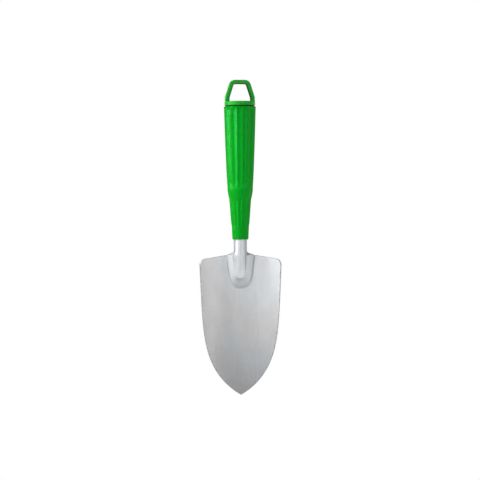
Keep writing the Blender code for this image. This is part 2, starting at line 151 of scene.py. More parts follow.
# Pin through the back of the collar
PIN_RADIUS = 0.0015
PIN_HEAD_RADIUS = 0.0026
PIN_HEAD_HEIGHT = 0.0010
PIN_RISE = 0.0065
PIN_REACH = 0.0010
TURNING_PITCH = 0.00022

# Clearances
FIT_GAP = 0.0003
SWIVEL_GAP = 0.0003
RIM_GAP = 0.0004
SOCKET_SPARE = 0.0010

# Studio
CAMERA_DISTANCE = 2.5
FRAME_WIDTH = 0.480
CAMERA_TARGET = (-0.0004, 0, -0.1558)
CAMERA_ROLL = -0.25
CAMERA_CLIP = (0.05, 20)
SENSOR_WIDTH = 36
WHITE = (1, 1, 1, 1)
ROOM_RIGHT = 0.58
ROOM_BELOW = 1.1
WALL_LIGHT = 1.0
WALL_EDGE = (0.5, 0.95)
FLOOR_HEIGHT = -0.45
FLOOR_GLOW = 0.35
FLOOR_FADE = (0.20, 0.46)
FLOOR_REACH = 0.50
FLOOR_PALE = (0.9, 0.9, 0.9, 1)
# Lamps by the height they are aimed at and their spread in degrees: each one's place, size and watts
LAMPS = {
    (-0.11, 50): {
        "key_light": ((-0.497, -0.052, 0.0), (0.10, 0.15), 0.075),
        "left_light": ((-0.441, -0.235, 0.0), (0.14, 0.15), 0.084),
        "near_left_light": ((-0.354, -0.354, 0.0), (0.14, 0.15), 0.031),
        "high_side_light": ((-0.492, -0.087, 0.30), (0.15, 0.15), 0.218),
        "high_left_light": ((-0.433, -0.25, 0.35), (0.15, 0.15), 0.055),
        "front_light": ((-0.07, -0.495, -0.05), (0.20, 0.20), 0.042),
        "right_light": ((0.308, -0.394, 0.0), (0.30, 0.15), 0.064),
    },
    (-0.21, 34): {
        "low_side_light": ((-0.42, -0.27, -0.34), (0.18, 0.20), 0.0105),
        "low_left_light": ((-0.25, -0.433, -0.32), (0.25, 0.15), 0.016),
        "low_front_light": ((0.044, -0.498, -0.38), (0.25, 0.15), 0.015),
        "low_right_light": ((0.354, -0.354, -0.32), (0.25, 0.15), 0.0105),
    },
}

# Places that follow from the sizes above
CAP_TOP = -WINDOW_HEIGHT
CAP_BOTTOM = CAP_TOP - CAP_THICKNESS
HANDLE_TOP = CAP_BOTTOM - RIM_GAP
HANDLE_END = HANDLE_TOP - HANDLE_LENGTH
SHOULDER = HANDLE_END - NECK_SHOWN
CAP_RADIUS = GRIP_TOP_RADIUS - CAP_STEP
MOUTH_RADIUS = GRIP_TOP_RADIUS - RIM_WALL
PLUG_RADIUS = MOUTH_RADIUS - SWIVEL_GAP
SOCKET_RADIUS = NECK_RADIUS + FIT_GAP
END_RADIUS = SOCKET_RADIUS + COLLAR_WALL
COLLAR_RADIUS = END_RADIUS + COLLAR_DRAFT
KNEE_DROP = HANDLE_LENGTH - KNEE_RISE
COLLAR_DROP = HANDLE_LENGTH - COLLAR_HEIGHT
SOCKET_DROP = HANDLE_LENGTH - NECK_INSERT - SOCKET_SPARE
FACE_RADIUS = DISH_RADIUS - SHEET / 2
FACE_WIDTH = BLADE_WIDTH * FACE_RADIUS / DISH_RADIUS
WRAP = math.pi - SEAM_GAP / 2 / NECK_RADIUS
RIDGE_HEIGHT = NECK_RADIUS + PLATE_BACK - SHEET / 2 - BOSS_HEIGHT
PIN_HEIGHT = HANDLE_END + PIN_RISE
LAY_ALONG_Y = Matrix.Translation((0, 0, PIN_HEIGHT)) @ Matrix.Rotation(-math.pi / 2, 4, "X")

# Mesh steps and node sockets
ROUND_STEPS = 256
PIN_STEPS = 64
EDGE_STEPS = 6
BEND_STEPS = 12
FOOT_STEPS = 16
BORE_STEPS = 8
CROWN_STEPS = 8
HANDLE_STEPS = (14, 34, 24, 16, 8, 6)
STRIP_STEPS = 96
SIDE_STEPS = 24
SIDE_CROWDING = 1.6
CORNER_STEPS = 5
CORNER_HALVINGS = 40
BOSS_ROWS = 84
BOSS_ROWS_REACH = 1.1 * BOSS_LENGTH
COLUMN_GAP = SHEET / 4
WIDEST_STEP = 16
DISH_ROWS = 88
DISH_CROWDING = 0.45
FLARE_ROWS = 14
NECK_ROWS = 40
RIM_STEPS = 3
FLOOR_SEGMENTS = 96
MERGE_DISTANCE = 2e-6
SOCKET_TYPES = {int: "NodeSocketInt", float: "NodeSocketFloat"}

# Edges between faces that meet at more than these angles, in degrees, are crisp
CUTTER_ANGLE = 30
PIN_ANGLE = 35
PLASTIC_ANGLE = 40
BLADE_ANGLE = 50


class Tree:
    """A node tree, with short calls for what the shapes and finishes are made of."""

    def __init__(self, group, result=None):
        self.group = group
        self.result = result

    def add(self, kind, values=None, **settings):
        """Adds a node, with its settings, and its inputs given as numbers or as other nodes' sockets."""
        made = self.group.nodes.new(kind)
        for name, value in settings.items():
            setattr(made, name, value)
        self.fill(made, values or {})
        return made

    def out(self, kind, values=None, **settings):
        """The first output of a new node."""
        return self.add(kind, values, **settings).outputs[0]

    def fill(self, made, values):
        for place, value in values.items():
            if isinstance(value, bpy.types.NodeSocket):
                self.group.links.new(value, made.inputs[place])
            else:
                made.inputs[place].default_value = value

    def give(self, **values):
        """Links what the tree puts out, each named as its socket with _ for a space."""
        self.fill(self.result, {name.replace("_", " "): value for name, value in values.items()})

    def placed(self, name, **values):
        """Places a group with its own values, each named as its socket with _ for a space."""
        made = self.add("ShaderNodeGroup", node_tree=bpy.data.node_groups[name])
        self.fill(made, {label.replace("_", " "): value for label, value in values.items()})
        return made.outputs

    def calc(self, operation, *values):
        return self.out("ShaderNodeMath", dict(enumerate(values)), operation=operation)

    def vector(self, operation, *values):
        return self.out("ShaderNodeVectorMath", dict(enumerate(values)), operation=operation)

    def length(self, vector):
        return self.add("ShaderNodeVectorMath", {0: vector}, operation="LENGTH").outputs["Value"]

    def parts(self, vector):
        return self.add("ShaderNodeSeparateXYZ", {0: vector}).outputs

    def ranged(self, value, low, high, to_low=0.0, to_high=1.0, soft=True):
        return self.add("ShaderNodeMapRange", interpolation_type="SMOOTHSTEP" if soft else "LINEAR", values={
            "Value": value, "From Min": low, "From Max": high, "To Min": to_low, "To Max": to_high,
        }).outputs["Result"]

    def round_one(self, value, low, high, depth, soft=True):
        """A tone that goes from one less a depth to one and the depth."""
        ends = [self.calc(operation, 1.0, depth) for operation in ("SUBTRACT", "ADD")]
        return self.ranged(value, low, high, *ends, soft)

    def place(self, along=1.0):
        """Object coordinates, drawn out along the tool's length as many times as asked."""
        squeeze = self.out("ShaderNodeCombineXYZ", {0: 1.0, 1: 1.0, 2: self.calc("DIVIDE", 1.0, along)})
        return self.vector("MULTIPLY", self.add("ShaderNodeTexCoord").outputs["Object"], squeeze)

    def noise(self, place, scale, **values):
        return self.add("ShaderNodeTexNoise", {"Vector": place, "Scale": scale, **values}).outputs["Fac"]

    def blended(self, factor, first, second):
        """One number turning into another by a mask."""
        return self.out("ShaderNodeMix", {0: factor, 2: first, 3: second})

    def mixed(self, factor, *colours):
        """One colour turning into another by a mask."""
        first, second = [(*colour, 1) if isinstance(colour, tuple) else colour for colour in colours]
        return self.add("ShaderNodeMix", {0: factor, 6: first, 7: second}, data_type="RGBA").outputs[2]

    def tinted(self, colour, mask, share, tint):
        """A colour that turns towards a tint by a share of a mask."""
        return self.mixed(self.calc("MULTIPLY", mask, share), colour, tint)

    def toned(self, colour, *tones):
        """A colour made lighter or darker by one or more tones."""
        for tone in tones:
            colour = self.out("ShaderNodeVectorMath", {0: colour, "Scale": tone}, operation="SCALE")
        return colour

    def plus(self, value, *shares):
        """A number with a share of each of some masks added, given as (mask, share)."""
        for mask, share in shares:
            value = self.calc("MULTIPLY_ADD", mask, share, value)
        return value

    def mark(self, name):
        """A number stored on the piece's points."""
        return self.add("ShaderNodeAttribute", attribute_name=name, attribute_type="GEOMETRY").outputs["Fac"]

    def bumped(self, *layers):
        """A normal from one or more heights, each given with its depth in metres."""
        values = {"Strength": 1.0}
        for height, depth in layers:
            values.update(Distance=depth, Height=height)
            values["Normal"] = self.out("ShaderNodeBump", values)
        return values["Normal"]


def smoothstep(value):
    t = min(max(value, 0.0), 1.0)
    return t * t * (3 - 2 * t)


def spaced(start, end, steps):
    return [start + (end - start) * i / steps for i in range(steps + 1)]


def arc(centre_a, centre_b, radius, start, end):
    """Points on a circle arc in any plane, by its angles in degrees."""
    angles = [math.radians(a) for a in spaced(start, end, EDGE_STEPS)]
    return [(centre_a + radius * math.cos(a), centre_b + radius * math.sin(a)) for a in angles]


def mesh_object(name, points=(), edges=()):
    mesh = bpy.data.meshes.new(name)
    mesh.from_pydata(points, edges, ())
    made = bpy.data.objects.new(name, mesh)
    bpy.context.collection.objects.link(made)
    return made


def primitive(name, create, place, **sizes):
    """A simple shape of its own, set in its place."""
    made = mesh_object(name)
    bm = bmesh.new()
    create(bm, matrix=place, **sizes)
    bm.to_mesh(made.data)
    bm.free()
    return made


def evaluated_mesh(made):
    """What a piece's live modifiers make of it, as a mesh of its own; the modifiers go."""
    bpy.context.view_layer.update()
    mesh = bpy.data.meshes.new_from_object(made.evaluated_get(bpy.context.evaluated_depsgraph_get()))
    made.modifiers.clear()
    return mesh


def plain_mesh(made, sharp_angle=PLASTIC_ANGLE):
    """Applies what is live on a piece, places it in its mesh and gives it smooth faces with crisp edges."""
    mesh = evaluated_mesh(made)
    mesh.transform(made.matrix_world)
    made.matrix_world = Matrix.Identity(4)
    made.data = mesh
    bm = bmesh.new()
    bm.from_mesh(mesh)
    bmesh.ops.recalc_face_normals(bm, faces=bm.faces)
    bm.to_mesh(mesh)
    bm.free()
    mesh.shade_smooth()
    mesh.set_sharp_from_angle(angle=math.radians(sharp_angle))
    return made


def nodes_modifier(made, name, values):
    """Puts a geometry tree on a piece, with its inputs set by their sockets' identifiers."""
    modifier = made.modifiers.new(name, "NODES")
    modifier.node_group = bpy.data.node_groups[name]
    for item in modifier.node_group.interface.items_tree:
        if item.item_type == "SOCKET" and item.in_out == "INPUT" and item.name in values:
            modifier[item.identifier] = values[item.name]


def new_tree(name, kind, inputs, outputs):
    """A node group and what it is given. Each socket has its usual value beside its name, or its type."""
    group = bpy.data.node_groups.new(name, kind)
    for way, sockets in (("INPUT", inputs), ("OUTPUT", outputs)):
        for label, usual in sockets.items():
            socket_type = SOCKET_TYPES.get(type(usual), usual)
            made = group.interface.new_socket(label, in_out=way, socket_type=socket_type)
            if socket_type != usual:
                made.default_value = usual
    given = group.nodes.new("NodeGroupInput").outputs
    return Tree(group, group.nodes.new("NodeGroupOutput")), given


def shape_tree(name, sizes):
    """A geometry tree that is given a shape, its sizes and a material."""
    inputs = {"Geometry": "NodeSocketGeometry", **sizes, "Material": "NodeSocketMaterial"}
    return new_tree(name, "GeometryNodeTree", inputs, {"Geometry": "NodeSocketGeometry"})


def end_shape(tree, shape, material):
    """Ends a geometry tree: doubles merged, instances made real and the material set."""
    shape = tree.out("GeometryNodeMergeByDistance", {"Geometry": shape, "Distance": MERGE_DISTANCE})
    shape = tree.out("GeometryNodeRealizeInstances", {"Geometry": shape})
    tree.give(Geometry=tree.out("GeometryNodeSetMaterial", {"Geometry": shape, "Material": material}))


def turned_tree():
    """A body turned from a profile of (radius, 0, height) points, with flutes as deep as the profile says."""
    sizes = {"Steps Round": ROUND_STEPS, "Flutes": FLUTES, "Crest Rounding": CREST_ROUNDING}
    tree, given = shape_tree("turned_body", sizes)
    calc = tree.calc
    profile = given["Geometry"]
    steps = given["Steps Round"]
    count = tree.add("GeometryNodeAttributeDomainSize", {"Geometry": profile}).outputs["Point Count"]
    grid = tree.add("GeometryNodeMeshGrid", {
        "Size X": 1.0, "Size Y": 1.0, "Vertices X": calc("ADD", steps, 1.0), "Vertices Y": count,
    }).outputs["Mesh"]
    index = tree.out("GeometryNodeInputIndex")
    column = calc("FLOOR", calc("DIVIDE", calc("ADD", index, 0.5), count))
    row = calc("SUBTRACT", index, calc("MULTIPLY", column, count))

    def on_profile(value, data_type):
        return tree.add("GeometryNodeSampleIndex", data_type=data_type, values={
            "Geometry": profile, "Value": value, "Index": row,
        }).outputs["Value"]

    corner = tree.parts(on_profile(tree.out("GeometryNodeInputPosition"), "FLOAT_VECTOR"))
    depths = tree.add("GeometryNodeInputNamedAttribute", {"Name": "flute"}).outputs["Attribute"]
    flute = on_profile(depths, "FLOAT")
    turn = calc("DIVIDE", column, steps)

    phase = calc("FRACT", calc("MULTIPLY", turn, given["Flutes"]))
    across = calc("MULTIPLY_ADD", phase, 2.0, -1.0)
    bowl = calc("SUBTRACT", 1.0, calc("MULTIPLY", across, across))
    soft = given["Crest Rounding"]

    def rounded(value):
        reach = calc("SQRT", calc("ADD", calc("MULTIPLY", value, value), calc("MULTIPLY", soft, soft)))
        return calc("SUBTRACT", reach, soft)

    hollow = calc("DIVIDE", rounded(bowl), rounded(1.0))
    radius = calc("SUBTRACT", corner["X"], calc("MULTIPLY", flute, hollow))
    angle = calc("MULTIPLY_ADD", turn, 2 * math.pi, -math.pi / 2 - math.pi / FLUTES)
    spot = tree.out("ShaderNodeCombineXYZ", {
        "X": calc("MULTIPLY", radius, calc("COSINE", angle)),
        "Y": calc("MULTIPLY", radius, calc("SINE", angle)),
        "Z": corner["Z"],
    })
    body = tree.out("GeometryNodeSetPosition", {"Geometry": grid, "Position": spot})
    cut = tree.ranged(flute, 0.0, LOWER_FLUTE_DEPTH, soft=False)
    crest = calc("MULTIPLY", cut, calc("POWER", calc("ABSOLUTE", across), CREST_SHARPNESS))
    body = tree.out("GeometryNodeStoreNamedAttribute", {"Geometry": body, "Name": "crest", "Value": crest})
    end_shape(tree, body, given["Material"])


def swept_tree():
    """A bar of rounded section along a line of corner points, wider where it meets what it stands on."""
    tree, given = shape_tree("swept_bar", {
        "Width": LOOP_BAR, "Depth": LOOP_DEPTH, "Edge Radius": LOOP_EDGE_RADIUS,
        "Foot Height": CAP_TOP, "Foot Flare": LOOP_FOOT_FLARE, "Reach": CAP_RADIUS,
    })
    calc = tree.calc
    section = tree.out("GeometryNodeCurvePrimitiveQuadrilateral", {
        "Width": given["Width"], "Height": given["Depth"],
    })
    section = tree.out("GeometryNodeFilletCurve", mode="POLY", values={
        "Curve": section, "Count": EDGE_STEPS, "Radius": given["Edge Radius"],
    })
    path = tree.out("GeometryNodeMeshToCurve", {"Mesh": given["Geometry"]})
    height = tree.parts(tree.out("GeometryNodeInputPosition"))["Z"]
    flare = given["Foot Flare"]
    above = calc("DIVIDE", calc("SUBTRACT", height, given["Foot Height"]), flare)
    left = calc("SUBTRACT", 1.0, tree.out("ShaderNodeClamp", {"Value": above}))
    rise = calc("SQRT", calc("SUBTRACT", 1.0, calc("MULTIPLY", left, left)))
    spread = calc("MULTIPLY", calc("SUBTRACT", 1.0, rise), flare)
    scale = calc("ADD", 1.0, calc("DIVIDE", spread, calc("MULTIPLY", given["Width"], 0.5)))
    bar = tree.out("GeometryNodeCurveToMesh", {
        "Curve": path, "Profile Curve": section, "Scale": scale, "Fill Caps": True,
    })
    spot = tree.parts(tree.out("GeometryNodeInputPosition"))
    squares = [calc("MULTIPLY", spot[axis], spot[axis]) for axis in "XY"]
    keep = calc("MINIMUM", 1.0, calc("DIVIDE", given["Reach"], calc("SQRT", calc("ADD", *squares))))
    held = tree.out("ShaderNodeCombineXYZ", {
        "X": calc("MULTIPLY", spot["X"], keep), "Y": calc("MULTIPLY", spot["Y"], keep), "Z": spot["Z"],
    })
    bar = tree.out("GeometryNodeSetPosition", {"Geometry": bar, "Position": held})
    end_shape(tree, bar, given["Material"])


def turned(name, profile, steps, material, flutes=None):
    """A turned piece from (radius, height) points; flutes gives the depth of the flutes at each point."""
    points = [(radius, 0, height) for radius, height in profile]
    made = mesh_object(name, points, [(i, i + 1) for i in range(len(points) - 1)])
    depths = made.data.attributes.new("flute", "FLOAT", "POINT")
    depths.data.foreach_set("value", flutes or [0.0] * len(points))
    nodes_modifier(made, "turned_body", {"Steps Round": steps, "Material": material})
    return made


def cutter(shape, turn=None):
    """A finished shape that only cuts others, so it isn't shown."""
    if turn:
        shape.matrix_world = turn
    plain_mesh(shape, CUTTER_ANGLE)
    shape.hide_render = True
    shape.display_type = "WIRE"
    return shape


def combined(target, others, operation):
    """Joins shapes to a piece or cuts them from it, one after another, and leaves a plain mesh."""
    for other in others:
        boolean = target.modifiers.new("shape", "BOOLEAN")
        boolean.operation = operation
        boolean.solver = "EXACT"
        boolean.object = other
    target.data = evaluated_mesh(target)
    for other in others:
        bpy.data.objects.remove(other)
    return target


def outer_radius(drop):
    """The handle's radius over its flute crests, a smooth curve through its seven main places."""
    places = [
        (0, GRIP_TOP_RADIUS),
        (GRIP_MIDDLE_DROP, GRIP_MIDDLE_RADIUS),
        (KNEE_DROP, KNEE_RADIUS),
        (HANDLE_LENGTH - TAPER_RISE, TAPER_RADIUS),
        (HANDLE_LENGTH - WAIST_RISE, WAIST_RADIUS),
        (COLLAR_DROP, COLLAR_RADIUS),
        (HANDLE_LENGTH, END_RADIUS),
    ]
    slopes = [(b[1] - a[1]) / (b[0] - a[0]) for a, b in zip(places, places[1:])]
    tangents = [slopes[0]]
    for before, after in zip(slopes, slopes[1:]):
        same_way = before * after > 0
        tangents.append(2 * before * after / (before + after) if same_way else 0.0)
    tangents.append(slopes[-1])
    drop = min(max(drop, 0.0), HANDLE_LENGTH)
    i = next(i for i in range(len(slopes)) if drop <= places[i + 1][0])
    run = places[i + 1][0] - places[i][0]
    t = (drop - places[i][0]) / run
    return (
        (2 * t**3 - 3 * t**2 + 1) * places[i][1]
        + (t**3 - 2 * t**2 + t) * run * tangents[i]
        + (3 * t**2 - 2 * t**3) * places[i + 1][1]
        + (t**3 - t**2) * run * tangents[i + 1]
    )


def flute_depth(drop):
    """How deep the flutes are cut: one set above the knee, one between knee and collar."""
    upper_end = KNEE_DROP + KNEE_LENGTH / 4
    lower_start = KNEE_DROP + KNEE_LENGTH
    rise = smoothstep((drop + FLUTE_LEAD) / FLUTE_RISE)
    fall = smoothstep((upper_end - drop) / FLUTE_FADE)
    upper = UPPER_FLUTE_DEPTH * min(rise, fall)
    rise = smoothstep((drop - lower_start) / (FLUTE_FADE / 2))
    fall = smoothstep((COLLAR_DROP - drop) / (FLUTE_FADE / 2))
    lower = LOWER_FLUTE_DEPTH * min(rise, fall)
    return max(upper, lower)


def bore_profile():
    """The handle's bore as (radius, drop) from its lower end up: socket, hollow, snap groove, mouth."""
    cavity_end = MOUTH_RADIUS - BEAD_HEIGHT
    reach = SWIVEL_GAP + BEAD_WIDTH / 3
    profile = [(SOCKET_RADIUS, HANDLE_LENGTH), (SOCKET_RADIUS, SOCKET_DROP)]
    for drop in spaced(SOCKET_DROP, MOUTH_DEPTH, BORE_STEPS):
        profile.append((min(cavity_end, outer_radius(drop) - UPPER_FLUTE_DEPTH - GRIP_WALL), drop))
    profile += [
        (MOUTH_RADIUS, MOUTH_DEPTH),
        (MOUTH_RADIUS, BEAD_DROP + BEAD_WIDTH + reach),
        (MOUTH_RADIUS + BEAD_HEIGHT, BEAD_DROP + BEAD_WIDTH * 2 / 3 + reach),
        (MOUTH_RADIUS + BEAD_HEIGHT, BEAD_DROP + BEAD_WIDTH / 3 - reach),
        (MOUTH_RADIUS, BEAD_DROP - reach),
    ]
    return profile


def make_handle(material):
    low = HANDLE_LENGTH - END_EDGE
    profile = [(radius, drop, 0.0) for radius, drop in bore_profile()]
    for centre, start in ((MOUTH_RADIUS + RIM_EDGE, 180), (outer_radius(0) - RIM_EDGE, 270)):
        profile += [(r, d, 0.0) for r, d in arc(centre, RIM_EDGE, RIM_EDGE, start, start + 90)]
    fades = [RIM_EDGE, FLUTE_RISE, KNEE_DROP - FLUTE_FADE, KNEE_DROP + KNEE_LENGTH * 1.5,
             COLLAR_DROP - FLUTE_FADE / 2, COLLAR_DROP, low]
    for (start, end), steps in zip(zip(fades, fades[1:]), HANDLE_STEPS):
        profile += [(outer_radius(d), d, flute_depth(d)) for d in spaced(start, end, steps)[1:]]
    round_off = min(END_EDGE, END_SHARE * (outer_radius(low) - SOCKET_RADIUS))
    for across, down in arc(0, 0, 1, 0, 90)[1:]:
        profile.append((outer_radius(low) - round_off * (1 - across), low + END_EDGE * down, 0.0))
    profile.append((SOCKET_RADIUS, HANDLE_LENGTH, 0.0))
    outline = [(radius, HANDLE_TOP - drop) for radius, drop, _ in profile]
    handle = turned("trowel_handle", outline, ROUND_STEPS, material, [f for _, _, f in profile])
    plain_mesh(handle)
    return plain_mesh(combined(handle, [pin_hole(material)], "DIFFERENCE"))


def pin_hole(material):
    """A cutter for the hole that the pin passes through, at the back only."""
    radius = PIN_RADIUS + FIT_GAP
    start = NECK_RADIUS / 2
    end = 2 * COLLAR_RADIUS
    profile = [(0, start), (radius, start), (radius, end), (0, end)]
    return cutter(turned("pin_hole", profile, PIN_STEPS, material), LAY_ALONG_Y)


def make_pin(material):
    """A short drive pin with a low domed head, seated on the back of the collar."""
    seat = outer_radius(HANDLE_LENGTH - PIN_RISE - PIN_HEAD_RADIUS) + FIT_GAP
    tail = NECK_RADIUS - SHEET - PIN_REACH
    crown = [
        (PIN_HEAD_RADIUS * math.cos(a), seat + PIN_HEAD_HEIGHT * math.sin(a))
        for a in spaced(0, math.pi / 2, 2 * EDGE_STEPS)
    ]
    crown[-1] = (0, seat + PIN_HEAD_HEIGHT)
    point = PIN_RADIUS / 2
    profile = [(0, tail), (PIN_RADIUS - point, tail), (PIN_RADIUS, tail + point), (PIN_RADIUS, seat)]
    pin = turned("collar_drive_pin", profile + crown, PIN_STEPS, material)
    pin.matrix_world = LAY_ALONG_Y
    return plain_mesh(pin, PIN_ANGLE)


def loop_corners():
    """The centre line of the loop's bars, with its corners rounded, from one leg up and over to the other."""
    root = CAP_TOP - (CROWN_THICKNESS - FIT_GAP) * LOOP_ROOT
    base = CAP_RADIUS - FIT_GAP - LOOP_BAR / 2
    low = Vector((base, CAP_TOP + LOOP_FOOT_FLARE))
    knee = Vector((base, CAP_TOP + LOOP_KNEE_RISE))
    top = Vector((LOOP_TOP_WIDTH / 2, LOOP_BAR / 2))
    corners = [Vector((base, root)), low, knee, top]
    corners += [Vector((-c.x, c.y)) for c in reversed(corners)]
    radii = [0, 0, LOOP_KNEE_RADIUS, LOOP_TOP_RADIUS]
    radii += radii[::-1]
    path = []
    for i, (corner, radius) in enumerate(zip(corners, radii)):
        if radius == 0:
            path.append(corner)
            continue
        before = (corners[i - 1] - corner).normalized()
        after = (corners[i + 1] - corner).normalized()
        half = before.angle(after) / 2
        centre = corner + (before + after).normalized() * radius / math.sin(half)
        first = corner + before * radius / math.tan(half) - centre
        last = corner + after * radius / math.tan(half) - centre
        for share in spaced(0, 1, BEND_STEPS):
            path.append(centre + first.slerp(last, share).normalized() * radius)
    shares = spaced(0, 1, FOOT_STEPS)
    foot, other_foot = [[start.lerp(end, share) for share in shares] for start, end in (path[:2], path[-2:])]
    return [(p.x, 0, p.y) for p in foot[:-1] + path[1:-1] + other_foot[1:]]


def plug_profile():
    """The cap with its hollow plug and snap bead, from the middle of its top to the roof of the plug."""
    plug_end = CAP_BOTTOM - PLUG_LENGTH
    bead = CAP_BOTTOM - BEAD_DROP
    inner = PLUG_RADIUS - PLUG_WALL
    profile = [(0, CAP_TOP)]
    profile += [(r, CAP_TOP) for r in spaced(0, CAP_RADIUS - CAP_TOP_EDGE, CROWN_STEPS)[1:-1]]
    profile += arc(CAP_RADIUS - CAP_TOP_EDGE, CAP_TOP - CAP_TOP_EDGE, CAP_TOP_EDGE, 90, 0)
    profile += arc(CAP_RADIUS - CAP_BOTTOM_EDGE, CAP_BOTTOM + CAP_BOTTOM_EDGE, CAP_BOTTOM_EDGE, 0, -90)
    profile += [
        (PLUG_RADIUS, CAP_BOTTOM),
        (PLUG_RADIUS, bead),
        (PLUG_RADIUS + BEAD_HEIGHT, bead - BEAD_WIDTH / 3),
        (PLUG_RADIUS + BEAD_HEIGHT, bead - BEAD_WIDTH * 2 / 3),
        (PLUG_RADIUS, bead - BEAD_WIDTH),
        (PLUG_RADIUS, plug_end + PLUG_LEAD),
        (PLUG_RADIUS - PLUG_LEAD, plug_end),
        (inner, plug_end),
        (inner, CAP_TOP - CROWN_THICKNESS),
        (0, CAP_TOP - CROWN_THICKNESS),
    ]
    return profile


def slot_cutter(along_x):
    """A bar across the plug that leaves two slots in its skirt, so that it can spring into the handle."""
    reach = 2 * CAP_RADIUS
    size = (reach, PLUG_SLOT) if along_x else (PLUG_SLOT, reach)
    top = CAP_BOTTOM - PLUG_LEAD
    bottom = CAP_BOTTOM - PLUG_LENGTH - PLUG_LEAD
    place = Matrix.Translation((0, 0, (top + bottom) / 2)) @ Matrix.Diagonal((*size, top - bottom, 1))
    return cutter(primitive("slot_cutter", bmesh.ops.create_cube, place, size=1))


def loop_painted_shade():
    """A rule: one on the inner sides of the loop's bars and under its cap's rim, where the loop gets painted
    shade.
    """
    points = [Vector(point) for point in loop_corners()]

    def painted_shade(spot):
        if spot.z < CAP_TOP:
            return smoothstep((CAP_BOTTOM + PAINTED_SHADE_RISE - spot.z) / PAINTED_SHADE_RISE)
        across = abs(spot.x * math.cos(LOOP_TURN) + spot.y * math.sin(LOOP_TURN))
        here = Vector((across, 0, spot.z))
        near, inside = 1.0, 0.0
        for start, end in zip(points, points[1:]):
            share = intersect_point_line(here, start, end)[1]
            away = here - start.lerp(end, min(max(share, 0.0), 1.0))
            if away.length < near:
                near, inside = away.length, away.cross(end - start).y
        return smoothstep((math.copysign(near, inside) - LOOP_BAR / 2 + PAINTED_SHADE_SIDE) / PAINTED_SHADE_SIDE)

    return painted_shade


def make_hang_loop(material):
    points = loop_corners()
    bars = mesh_object("loop_bars", points, [(i, i + 1) for i in range(len(points) - 1)])
    nodes_modifier(bars, "swept_bar", {"Material": material, "Reach": CAP_RADIUS - FIT_GAP / 2})
    plain_mesh(bars)
    loop = plain_mesh(turned("hanging_loop", plug_profile(), ROUND_STEPS // 2, material))
    combined(loop, [bars], "UNION")
    combined(loop, [slot_cutter(along_x) for along_x in (True, False)], "DIFFERENCE")
    loop.matrix_world = Matrix.Rotation(LOOP_TURN, 4, "Z")
    return marked(plain_mesh(loop), "painted_shade", loop_painted_shade())


def half_width(drop):
    """Half the blade's width below the shoulder line: tapering sides that draw in to the point."""
    sides = FACE_WIDTH / 2 - drop * math.tan(SIDE_TAPER)
    share = min(max((drop - SIDE_LENGTH) / (BLADE_LENGTH - SIDE_LENGTH), 0.0), 1.0)
    return max(sides * (1 - share**OUTLINE_POWER) ** OUTLINE_POINT, TIP_FLAT / 2)


def corner_place(turn):
    """A point on the rounded upper corner of the blade, as (distance out, drop)."""
    out = FACE_WIDTH / 2 - CORNER_RADIUS + CORNER_RADIUS * math.sin(turn)
    slope = SHOULDER_SLOPE * (out - BOSS_WIDTH / 2)
    return out, slope + CORNER_RADIUS * (1 - math.cos(turn))


def corner_out(drop):
    """How far out the rounded corner has come at a drop on the blade's side."""
    low = math.pi / 4
    high = math.pi / 2
    if drop >= corner_place(high)[1]:
        return FACE_WIDTH / 2
    for _ in range(CORNER_HALVINGS):
        middle = (low + high) / 2
        if corner_place(middle)[1] < drop:
            low = middle
        else:
            high = middle
    return corner_place(low)[0]


def boss_inside(x, drop):
    """How far inside the foot of the U-shaped boss a point is: tapering sides, closed by a full round end."""
    half = BOSS_WIDTH / 2 - BOSS_TAPER * min(drop, BOSS_LENGTH)
    past = max(drop - BOSS_STRAIGHT, 0.0) / (BOSS_LENGTH - BOSS_STRAIGHT)
    return (1 - (abs(x / half) ** BOSS_POWER + past**BOSS_POWER) ** (1 / BOSS_POWER)) * half


def smooth_min(a, b, blend):
    mix = max(blend - abs(a - b), 0.0) / blend
    return min(a, b) - mix * mix * blend / 4


def smooth_max(a, b, blend):
    return -smooth_min(-a, -b, blend)


def boss_rise(x, drop):
    """Height of the boss over the plate: a step at its foot, a gentler flank, a flat top, an easier end."""
    inside = boss_inside(x, drop) * (1 - BOSS_EASE * min(drop / BOSS_LENGTH, 1.0) ** 2)
    flank = smooth_min(BOSS_STEP + BOSS_FLANK_SLOPE * inside, BOSS_HEIGHT, TOP_BLEND)
    return smooth_max(smooth_min(BOSS_FOOT_SLOPE * inside, flank, FOOT_BLEND), 0.0, CREASE_BLEND)


def ridge_rise(x, drop):
    """Height of the ridge that carries the neck's round front on over the boss and fades into it."""
    share = drop / RIDGE_LENGTH
    reach = RIDGE_REACH * (1 - RIDGE_NARROWING * min(share, 1.0))
    crown = RIDGE_HEIGHT * (1 - abs(x / reach) ** RIDGE_POWER)
    return smooth_max(crown, 0.0, RIDGE_BLEND) * smooth_max(1 - share**RIDGE_FADE, 0.0, RIDGE_END)


def face_depth(x, drop):
    """Depth of the sheet's hollow side: dished plate, the boss on it, and the ridge on the boss."""
    dish = FACE_RADIUS - math.sqrt(FACE_RADIUS**2 - x * x)
    lift = TIP_LIFT * (drop / BLADE_LENGTH) ** 2
    return PLATE_BACK - SHEET / 2 - dish - lift - boss_rise(x, drop) - ridge_rise(x, drop)


def strip_x(turn):
    """Where a line of the neck, at an angle round it, lies across the top of the boss."""
    if abs(turn) <= math.pi / 2:
        return RIDGE_REACH * math.sin(turn)
    share = (abs(turn) - math.pi / 2) / (WRAP - math.pi / 2)
    return math.copysign(RIDGE_REACH + (BOSS_WIDTH / 2 - RIDGE_REACH) * share, turn)


